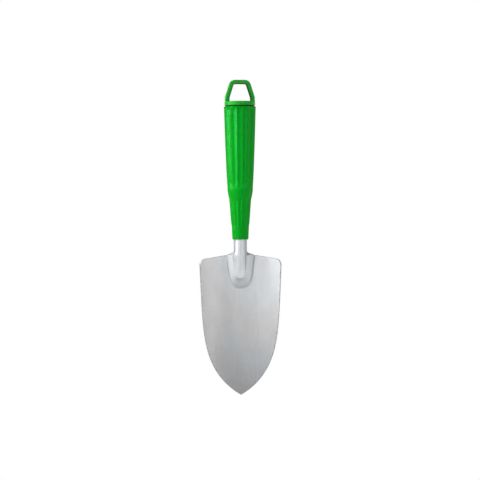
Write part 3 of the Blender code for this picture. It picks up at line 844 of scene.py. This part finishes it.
def top_columns():
    """The grid's lines across the top edge as (distance out, drop), from one upper corner to the other."""
    turns = spaced(-WRAP, WRAP, STRIP_STEPS)
    corner = FACE_WIDTH / 2 - CORNER_RADIUS
    shares = [t**SIDE_CROWDING for t in spaced(0, 1, SIDE_STEPS - CORNER_STEPS)[1:]]
    flat = [BOSS_WIDTH / 2 + (corner - BOSS_WIDTH / 2) * share for share in shares]
    side = [(x, SHOULDER_SLOPE * (x - BOSS_WIDTH / 2)) for x in flat]
    side += [corner_place(a) for a in spaced(0, math.pi / 4, CORNER_STEPS)[1:]]
    mirrored = [(-x, drop) for x, drop in reversed(side)]
    return mirrored + [(strip_x(t), 0.0) for t in turns] + side


def sheet_rows():
    """Shares of the blade's length from the shoulder to the tip: close over the boss and near the tip."""
    boss = BOSS_ROWS_REACH / BLADE_LENGTH
    rows = spaced(0, boss, BOSS_ROWS)
    for t in spaced(0, 1, DISH_ROWS)[1:]:
        rows.append(boss + (1 - boss) * (t * (1 + DISH_CROWDING) - DISH_CROWDING * t * t))
    return rows


def blade_skin():
    """The hollow side of the whole pressing, neck and all, as an open sheet."""
    bm = bmesh.new()
    columns = top_columns()
    count = len(columns)
    side_drop = columns[-1][1]
    side_out = columns[-1][0]
    rows = []
    for share in sheet_rows():
        edge_drop = side_drop + (BLADE_LENGTH - side_drop) * share
        widen = corner_out(edge_drop) / side_out
        half = half_width(edge_drop)
        even = smoothstep((edge_drop - BOSS_LENGTH) / BOSS_LENGTH)
        step = 1
        while half * 2 / (count - 1) * step < COLUMN_GAP and step < WIDEST_STEP:
            step *= 2
        row = {}
        for j in range(0, count, step):
            x, top = columns[j]
            drop = top + (BLADE_LENGTH - top) * share
            level = side_out * (2 * j / (count - 1) - 1)
            across = (x + (level - x) * even) * widen / (FACE_WIDTH / 2) * half_width(drop)
            row[j] = bm.verts.new((across, face_depth(across, drop), SHOULDER - drop))
        rows.append(row)
    for high, low in zip(rows, rows[1:]):
        places = sorted(low)
        for a, b in zip(places, places[1:]):
            upper = [high[j] for j in range(a, b + 1) if j in high]
            bm.faces.new([low[a], low[b]] + upper[::-1])

    turns = spaced(-WRAP, WRAP, STRIP_STEPS)
    below = [rows[0][SIDE_STEPS + i] for i in range(len(turns))]
    heights = [(NECK_FLARE * t, smoothstep(t**FLARE_BEND)) for t in spaced(0, 1, FLARE_ROWS)[1:]]
    neck_top = NECK_SHOWN + NECK_INSERT
    heights += [(h, 1.0) for h in spaced(NECK_FLARE, neck_top, NECK_ROWS)[1:]]
    for height, wrapped in heights:
        above = []
        for turn in turns:
            x = strip_x(turn)
            flat = Vector((x, face_depth(x, 0), 0))
            tube = Vector((math.sin(turn), -math.cos(turn), 0)) * NECK_RADIUS
            spot = flat.lerp(tube, wrapped)
            above.append(bm.verts.new((spot.x, spot.y, SHOULDER + height)))
        for i in range(len(turns) - 1):
            bm.faces.new((below[i], below[i + 1], above[i + 1], above[i]))
        below = above
    bm.normal_update()
    return bm


def thicken(bm):
    """Gives an open sheet its thickness behind its face, with a rounded edge all the way round."""
    following = {}
    for edge in bm.edges:
        if edge.is_boundary:
            loop = edge.link_loops[0]
            following[loop.vert] = loop.link_loop_next.vert
    before = {after: vert for vert, after in following.items()}
    face = {}
    back = {}
    outward = {}
    for vert in bm.verts:
        face[vert] = vert.co.copy()
        if vert in following:
            run = (following[vert].co - before[vert].co).normalized()
            outward[vert] = run.cross(vert.normal).normalized() * RIM_ROUND
            face[vert] -= outward[vert]
        back[vert] = face[vert] - vert.normal * SHEET
    skin = bmesh.new()
    front_verts = {vert: skin.verts.new(face[vert]) for vert in bm.verts}
    back_verts = {vert: skin.verts.new(back[vert]) for vert in bm.verts}
    for ring in bm.faces:
        skin.faces.new([front_verts[vert] for vert in ring.verts])
        skin.faces.new([back_verts[vert] for vert in ring.verts][::-1])
    order = [next(iter(following))]
    while following[order[-1]] is not order[0]:
        order.append(following[order[-1]])
    columns = []
    turns = [math.radians(a) for a in spaced(0, 90, RIM_STEPS)[1:]]
    for vert in order:
        column = [front_verts[vert]]
        for places, way, angles in ((face, -1, turns), (back, 1, turns[::-1])):
            for a in angles:
                inset = vert.normal * (way * RIM_ROUND * (1 - math.cos(a)))
                column.append(skin.verts.new(places[vert] + outward[vert] * math.sin(a) + inset))
        columns.append(column + [back_verts[vert]])
    for here, there in zip(columns, columns[1:] + columns[:1]):
        for k in range(len(here) - 1):
            skin.faces.new((here[k + 1], there[k + 1], there[k], here[k]))
    bm.free()
    return skin, [face[vert] for vert in order]


def marked(piece, name, rule):
    """Stores a number on each point of a finished piece, from its place."""
    marks = piece.data.attributes.new(name, "FLOAT", "POINT")
    marks.data.foreach_set("value", [rule(vert.co) for vert in piece.data.vertices])
    return piece


def boss_crease_shade(spot):
    """One in the crease round the foot of the boss, fading to nothing either side; the mask of the shade
    painted there, stronger on the left and weaker towards the U's end.
    """
    drop = SHOULDER - spot.z
    if drop < -NECK_FLARE:
        return 0.0
    near = math.exp(-((boss_inside(spot.x, max(drop, 0.0)) - CREASE_SHADE_DEPTH) / CREASE_SHADE_REACH) ** 2)
    lean = 1 - CREASE_SHADE_LEAN * spot.x / (BOSS_WIDTH / 2)
    return min(near * lean * (1 - CREASE_SHADE_FADE * smoothstep(drop / BOSS_LENGTH)), 1.0)


def make_blade(material):
    blade = mesh_object("trowel_blade")
    skin, rim = thicken(blade_skin())
    skin.to_mesh(blade.data)
    skin.free()
    blade.data.materials.append(material)
    plain_mesh(blade, BLADE_ANGLE)
    plain_mesh(combined(blade, [pin_hole(material)], "DIFFERENCE"), BLADE_ANGLE)
    outline = KDTree(len(rim))
    for i, spot in enumerate(rim):
        outline.insert(spot, i)
    outline.balance()
    marked(blade, "rim", lambda spot: 1 - smoothstep(outline.find(spot)[2] / WEAR_REACH))
    return marked(blade, "crease_shade", boss_crease_shade)


def group_of(name, inputs, *outputs):
    """A shader node group whose sockets are numbers."""
    return new_tree(name, "ShaderNodeTree", inputs, dict.fromkeys(outputs, "NodeSocketFloat"))


def cloudy_tone_group():
    """Slow changes over a surface: Tone is lighter and darker round one, Drift leads from tint to tint."""
    tree, given = group_of("cloudy_tone", {"Scale": 60.0, "Along": 1.5, "Depth": 0.05}, "Tone", "Drift")
    place = tree.place(given["Along"])
    cloud = tree.noise(place, given["Scale"], Detail=4.0, Roughness=0.55)
    aside = tree.vector("ADD", place, (0.31, 0.17, 0.43))
    drift = tree.noise(aside, tree.calc("MULTIPLY", given["Scale"], 0.45), Detail=2.0)
    tree.give(Tone=tree.round_one(cloud, 0.3, 0.7, given["Depth"]), Drift=tree.ranged(drift, 0.35, 0.65))


def fine_grain_group():
    """The fine skin of a moulding or a sprayed coat: Height for a bump, and Fleck, its duller dots."""
    usual = {"Scale": 2500.0, "Peel Scale": 420.0, "Peel": 0.5}
    tree, given = group_of("fine_grain", usual, "Height", "Fleck")
    place = tree.place()
    skin = tree.noise(place, given["Scale"], Detail=2.0, Roughness=0.6)
    peel = tree.noise(place, given["Peel Scale"], Detail=1.0, Roughness=0.4)
    tree.give(Height=tree.blended(given["Peel"], skin, peel), Fleck=tree.ranged(skin, 0.55, 0.75))


def drawn_marks_group():
    """Faint lines along the length, left by a die or handling, in patches: Marks, and Height for a bump."""
    usual = {"Scale": 900.0, "Along": 30.0, "Patch Scale": 60.0, "Share": 0.35}
    tree, given = group_of("drawn_marks", usual, "Marks", "Height")
    calc = tree.calc
    place = tree.place(given["Along"])
    lines = tree.noise(place, given["Scale"], Detail=2.0, Roughness=0.5, Distortion=0.15)
    patch = tree.noise(tree.place(2.0), given["Patch Scale"], Detail=2.0)
    bare = calc("SUBTRACT", 0.75, calc("MULTIPLY", given["Share"], 0.5))
    cover = tree.ranged(patch, calc("SUBTRACT", bare, 0.12), calc("ADD", bare, 0.06))
    marks = calc("MULTIPLY", tree.ranged(lines, 0.54, 0.66), cover)
    tree.give(Marks=marks, Height=calc("MULTIPLY_ADD", marks, -0.6, lines))


def edge_wear_group():
    """Broken wear that keeps to an edge: Edge is one on the edge and fades away from it."""
    tree, given = group_of("edge_wear", {"Edge": 0.0, "Scale": 700.0, "Amount": 0.5}, "Wear")
    calc = tree.calc
    chips = tree.noise(tree.place(1.6), given["Scale"], Detail=4.0, Roughness=0.65)
    reach = calc("SUBTRACT", calc("MULTIPLY", given["Edge"], given["Amount"]), 0.5)
    wear = tree.ranged(calc("ADD", chips, reach), 0.30, 0.42)
    tree.give(Wear=calc("MULTIPLY", wear, tree.ranged(given["Edge"], 0.0, 0.2)))


def flake_group():
    """Metal flake in a coat or crystals in a plating: each grain has its own Tone and Height."""
    tree, given = group_of("metal_flake", {"Scale": 2200.0, "Depth": 0.06}, "Tone", "Height")
    grains = tree.add("ShaderNodeTexVoronoi", {"Vector": tree.place(), "Scale": given["Scale"]}, feature="F1")
    shade = tree.add("ShaderNodeSeparateColor", {0: grains.outputs["Color"]}).outputs
    tree.give(Tone=tree.round_one(shade[0], 0.0, 1.0, given["Depth"], soft=False), Height=shade[1])


def new_material(name, constants):
    """A material with its plain shader, and what is the same all over set on the shader's own sockets."""
    material = bpy.data.materials.new(name)
    material.use_nodes = True
    shader = material.node_tree.nodes["Principled BSDF"]
    for socket, value in constants.items():
        shader.inputs[socket].default_value = value
    return material, Tree(material.node_tree, shader)


def handle_green():
    """Glossy moulded green plastic, a little polished on the flute crests, with faint flow lines."""
    material, tree = new_material("handle_green_plastic", {
        "IOR": 1.49, "Specular IOR Level": 0.7, "Specular Tint": (0.05, 1.0, 0.24, 1),
    })
    cloud = tree.placed("cloudy_tone", Scale=70.0, Along=3.0, Depth=0.05)
    grain = tree.placed("fine_grain", Scale=3200.0, Peel_Scale=380.0, Peel=0.6)
    lines = tree.placed("drawn_marks", Scale=1100.0, Along=45.0, Patch_Scale=70.0, Share=0.3)
    crest = tree.mark("crest")
    wear = tree.placed("edge_wear", Edge=crest, Scale=500.0, Amount=0.25)
    colour = tree.mixed(cloud["Drift"], (0.0004, 0.245, 0.0012), (0.0008, 0.262, 0.0030))
    colour = tree.tinted(colour, lines["Marks"], 0.10, (0.010, 0.32, 0.03))
    colour = tree.tinted(colour, wear["Wear"], 0.14, (0.015, 0.34, 0.04))
    facing = tree.add("ShaderNodeLayerWeight", {"Blend": 0.5}).outputs["Facing"]
    grazing = tree.ranged(facing, 0.35, 0.75)
    rough = tree.plus(tree.blended(crest, 0.32, 0.27), (grain["Fleck"], 0.05), (lines["Marks"], 0.08),
                      (cloud["Drift"], 0.04), (grazing, 0.60))
    normal = tree.bumped((grain["Height"], 4e-5), (lines["Height"], 1.2e-5))
    tree.give(Base_Color=tree.toned(colour, cloud["Tone"]), Roughness=rough, Normal=normal)
    return material


def cap_green():
    """The loop's duller green plastic, with a finer matt skin, scuffs, and painted shade inside its bars and
    under its cap's rim.
    """
    material, tree = new_material("cap_green_plastic", {
        "IOR": 1.49, "Specular IOR Level": 0.3, "Specular Tint": (0.15, 1.0, 0.35, 1),
    })
    cloud = tree.placed("cloudy_tone", Scale=110.0, Along=1.0, Depth=0.06)
    grain = tree.placed("fine_grain", Scale=2400.0, Peel_Scale=600.0, Peel=0.35)
    lines = tree.placed("drawn_marks", Scale=900.0, Along=6.0, Patch_Scale=160.0, Share=0.4)
    painted_shade = tree.mark("painted_shade")
    colour = tree.mixed(cloud["Drift"], (0.018, 0.350, 0.022), (0.034, 0.360, 0.030))
    colour = tree.tinted(colour, lines["Marks"], 0.12, (0.10, 0.40, 0.10))
    # Painted shade: the inner sides of the bars and the underside of the cap's rim turn almost black green
    colour = tree.tinted(colour, painted_shade, 0.92, (0.001, 0.035, 0.001))
    rough = tree.plus(0.40, (grain["Fleck"], 0.08), (painted_shade, 0.20), (lines["Marks"], 0.08))
    normal = tree.bumped((grain["Height"], 3e-5))
    tree.give(Base_Color=tree.toned(colour, cloud["Tone"]), Roughness=rough, Normal=normal)
    return material


def silver_lacquer():
    """Sprayed silver lacquer on pressed steel: cloudy, worn thin to dark bare steel on its edges, which also
    paints shade along the rim, and rougher in the crease round the boss, with painted shade there.
    """
    material, tree = new_material("silver_lacquer_paint", {
        "IOR": 1.5, "Specular IOR Level": 0.5, "Coat Roughness": 0.30, "Coat IOR": 1.45,
    })
    cloud = tree.placed("cloudy_tone", Scale=75.0, Along=1.6, Depth=0.035)
    grain = tree.placed("fine_grain", Scale=2600.0, Peel_Scale=330.0, Peel=0.55)
    flake = tree.placed("metal_flake", Scale=2600.0, Depth=0.07)
    marks = tree.placed("drawn_marks", Scale=520.0, Along=28.0, Patch_Scale=38.0, Share=0.45)
    wear = tree.placed("edge_wear", Edge=tree.mark("rim"), Scale=650.0, Amount=0.42)["Wear"]
    crease_shade = tree.mark("crease_shade")
    colour = tree.mixed(cloud["Drift"], (0.565, 0.555, 0.560), (0.545, 0.565, 0.585))
    colour = tree.toned(colour, cloud["Tone"], flake["Tone"])
    colour = tree.tinted(colour, marks["Marks"], 0.22, (0.47, 0.47, 0.48))
    # Painted shade: the crease round the boss's foot darkened, more on the left than on the right
    colour = tree.tinted(colour, crease_shade, 0.60, (0.36, 0.35, 0.37))
    # Wear and painted shade: chips of darker bare steel along the rim, which also draw a thin dark line where
    # the rounded edge would be in shade
    colour = tree.mixed(wear, colour, (0.30, 0.29, 0.29))
    rough = tree.plus(tree.blended(crease_shade, 0.42, 0.52), (marks["Marks"], 0.07), (cloud["Drift"], 0.04),
                      (grain["Fleck"], 0.05))
    normal = tree.bumped((grain["Height"], 5e-5), (flake["Height"], 1.2e-5), (marks["Height"], 1.5e-5))
    tree.give(Base_Color=colour, Roughness=rough, Metallic=tree.blended(wear, 0.85, 0.95),
              Coat_Weight=tree.blended(wear, 0.20, 0.0), Normal=normal)
    return material


def pin_steel():
    """Bright zinc plating on a turned pin, with turning rings on its head and small dark knocks."""
    material, tree = new_material("zinc_plated_steel", {"IOR": 2.0})
    grain = tree.placed("fine_grain", Scale=3500.0, Peel_Scale=900.0, Peel=0.3)
    crystals = tree.placed("metal_flake", Scale=4200.0, Depth=0.10)
    wear = tree.placed("edge_wear", Edge=1.0, Scale=1500.0, Amount=0.05)["Wear"]
    spot = tree.vector("ADD", tree.add("ShaderNodeTexCoord").outputs["Object"], (0, 0, -PIN_HEIGHT))
    reach = tree.length(tree.vector("MULTIPLY", spot, (1, 0, 1)))
    rings = tree.calc("SINE", tree.calc("MULTIPLY", reach, 2 * math.pi / TURNING_PITCH))
    colour = tree.mixed(grain["Fleck"], (0.60, 0.61, 0.64), (0.50, 0.51, 0.53))
    colour = tree.mixed(wear, tree.toned(colour, crystals["Tone"]), (0.28, 0.27, 0.26))
    rough = tree.plus(0.26, (grain["Fleck"], 0.10), (wear, 0.25))
    normal = tree.bumped((rings, 6e-6), (crystals["Height"], 8e-6))
    tree.give(Base_Color=colour, Roughness=rough, Metallic=tree.blended(wear, 1.0, 0.85), Normal=normal)
    return material


def main():
    for make_tree in (cloudy_tone_group, fine_grain_group, drawn_marks_group, edge_wear_group, flake_group,
                      turned_tree, swept_tree):
        make_tree()
    for make, finish, body, cad_node, slot in (
        (make_hang_loop, cap_green, "hanger", "hang_loop", "cap_green"),
        (make_handle, handle_green, "trowel", "handle", "handle_green"),
        (make_blade, silver_lacquer, "trowel", "blade", "silver_lacquer"),
        (make_pin, pin_steel, "trowel", "collar_pin", "pin_steel"),
    ):
        piece = make(finish())
        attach(piece, body)
        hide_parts(cad_node)


def aimed(made, place, target):
    made.location = place
    made.rotation_euler = (Vector(target) - Vector(place)).to_track_quat("-Z", "Y").to_euler()
    bpy.context.collection.objects.link(made)
    return made


def soft_box(name, place, target, size, watts, spread):
    """A rectangular studio lamp with a soft face and a honeycomb that keeps its light within an angle."""
    lamp = bpy.data.lights.new(name, "AREA")
    lamp.shape = "RECTANGLE"
    lamp.size, lamp.size_y = size
    lamp.spread = math.radians(spread)
    lamp.energy = watts
    made = aimed(bpy.data.objects.new(name, lamp), place, target)
    made.visible_camera = False


def cleared_tree(owner):
    """The empty node tree of a world or a material, and what kind of ray meets it."""
    owner.use_nodes = True
    owner.node_tree.nodes.clear()
    tree = Tree(owner.node_tree)
    return tree, tree.add("ShaderNodeLightPath").outputs


def make_world():
    """White wherever it is seen. As light, a white wall behind and dimmer light from the right and below."""
    world = bpy.data.worlds.new("white_room")
    tree, path = cleared_tree(world)
    calc = tree.calc
    way = tree.parts(tree.add("ShaderNodeTexCoord").outputs["Generated"])
    lit = tree.ranged(way["Y"], *WALL_EDGE, 0.0, WALL_LIGHT)
    for axis, share in (("X", ROOM_RIGHT), ("Z", -ROOM_BELOW)):
        lit = calc("ADD", lit, calc("MAXIMUM", calc("MULTIPLY", way[axis], share), 0.0))
    wall = calc("MULTIPLY", path["Is Glossy Ray"], tree.ranged(way["Y"], *WALL_EDGE, soft=False))
    seen = calc("MAXIMUM", calc("MAXIMUM", path["Is Camera Ray"], path["Is Transmission Ray"]), wall)
    room = tree.out("ShaderNodeBackground", {"Color": WHITE, "Strength": tree.blended(seen, lit, 1.0)})
    tree.add("ShaderNodeOutputWorld", {"Surface": room})
    bpy.context.scene.world = world


def make_floor():
    """A round pale floor that fades into the room, keeps the trowel's shadow and is clear from below."""
    floor = primitive("floor", bmesh.ops.create_circle, Matrix.Translation((0, 0, FLOOR_HEIGHT)),
                      cap_ends=True, segments=FLOOR_SEGMENTS, radius=FLOOR_REACH)
    material = bpy.data.materials.new("floor_pale")
    tree, path = cleared_tree(material)
    calc = tree.calc
    seen = calc("MAXIMUM", path["Is Camera Ray"], path["Is Glossy Ray"])
    seen = calc("MAXIMUM", seen, path["Is Transmission Ray"])
    reach = tree.length(tree.vector("MULTIPLY", tree.add("ShaderNodeTexCoord").outputs["Object"], (1, 1, 0)))
    glow = calc("MULTIPLY", tree.ranged(reach, *FLOOR_FADE, FLOOR_GLOW, 1.0), seen)
    matt = tree.out("ShaderNodeBsdfDiffuse", {"Color": FLOOR_PALE})
    white = tree.out("ShaderNodeEmission", {"Color": WHITE, "Strength": 1.0})
    above = tree.out("ShaderNodeMixShader", {0: glow, 1: matt, 2: white})
    below = calc("MULTIPLY", tree.add("ShaderNodeNewGeometry").outputs["Backfacing"], path["Is Camera Ray"])
    clear = tree.out("ShaderNodeBsdfTransparent")
    surface = tree.out("ShaderNodeMixShader", {0: below, 1: above, 2: clear})
    tree.add("ShaderNodeOutputMaterial", {"Surface": surface})
    floor.data.materials.append(material)


def make_camera():
    """A long lens straight in front, turned a quarter of a degree as the trowel leans in its picture."""
    lens = bpy.data.cameras.new("camera")
    lens.sensor_width = SENSOR_WIDTH
    lens.lens = SENSOR_WIDTH * CAMERA_DISTANCE / FRAME_WIDTH
    lens.clip_start, lens.clip_end = CAMERA_CLIP
    target = Vector(CAMERA_TARGET)
    camera = aimed(bpy.data.objects.new("camera", lens), target - Vector((0, CAMERA_DISTANCE, 0)), target)
    camera.rotation_euler.rotate_axis("Z", math.radians(CAMERA_ROLL))
    bpy.context.scene.camera = camera


def make_studio():
    make_world()
    make_floor()
    make_camera()
    for (aim, spread), lamps in LAMPS.items():
        for name, (place, size, watts) in lamps.items():
            soft_box(name, place, (0, 0, aim), size, watts, spread)
    bpy.context.scene.view_settings.view_transform = "Standard"


main()
make_studio()
